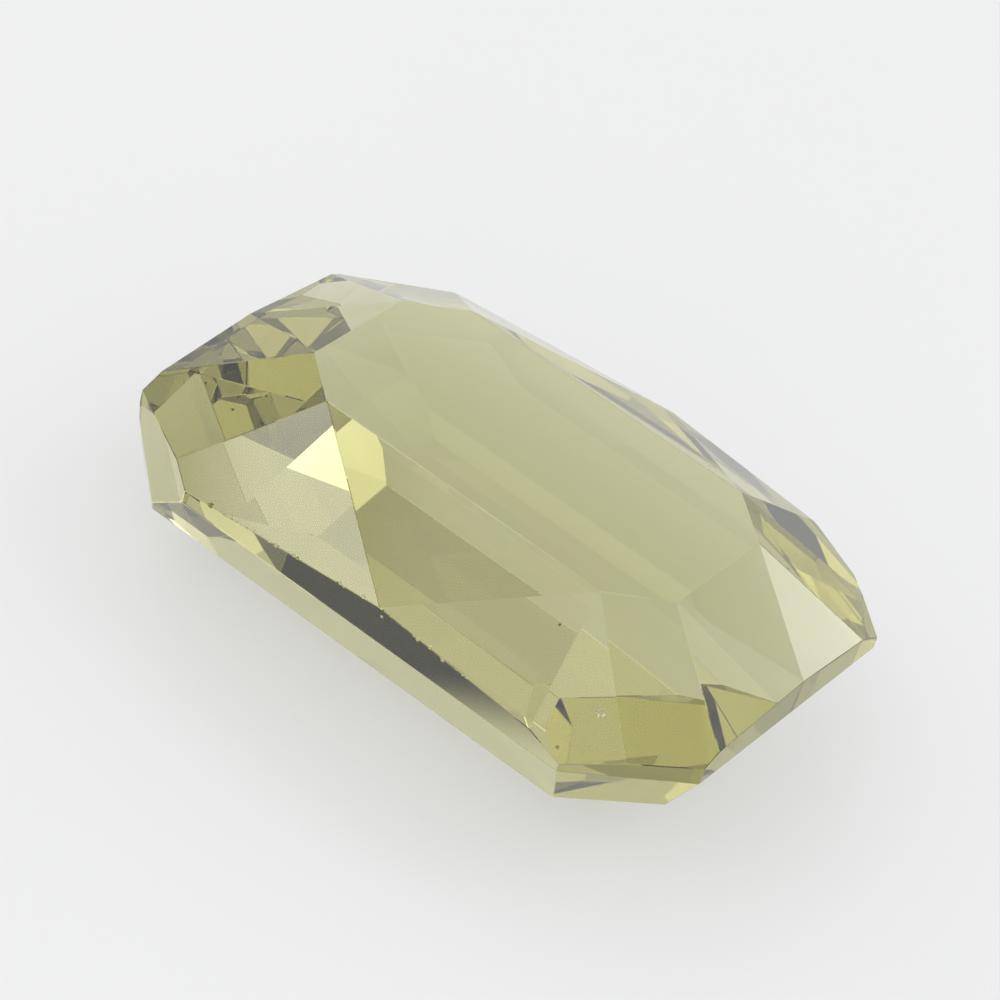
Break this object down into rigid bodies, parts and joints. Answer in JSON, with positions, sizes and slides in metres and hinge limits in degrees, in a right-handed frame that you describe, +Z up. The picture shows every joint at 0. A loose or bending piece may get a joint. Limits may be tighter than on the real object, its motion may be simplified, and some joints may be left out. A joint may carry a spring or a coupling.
{
  "type": "sapphire gemstone",
  "caption": "Loose faceted sapphire: a rectangle with cut corners, brilliant-style crown, straight girdle and stepped pavilion, in clear olive-yellow crystal.",
  "frame": {"origin": "on the flat keel facet the stone stands on, straight below the middle of the table", "axes": "+X along the stone's length, +Y across its width, +Z up through the level table"},
  "size_m": [0.0083, 0.0058, 0.0029],
  "materials": {
    "crystal": "polished clear crystal, olive yellow"
  },
  "bodies": {
    "root": {"stone": "crystal"}
  },
  "joints": []
}
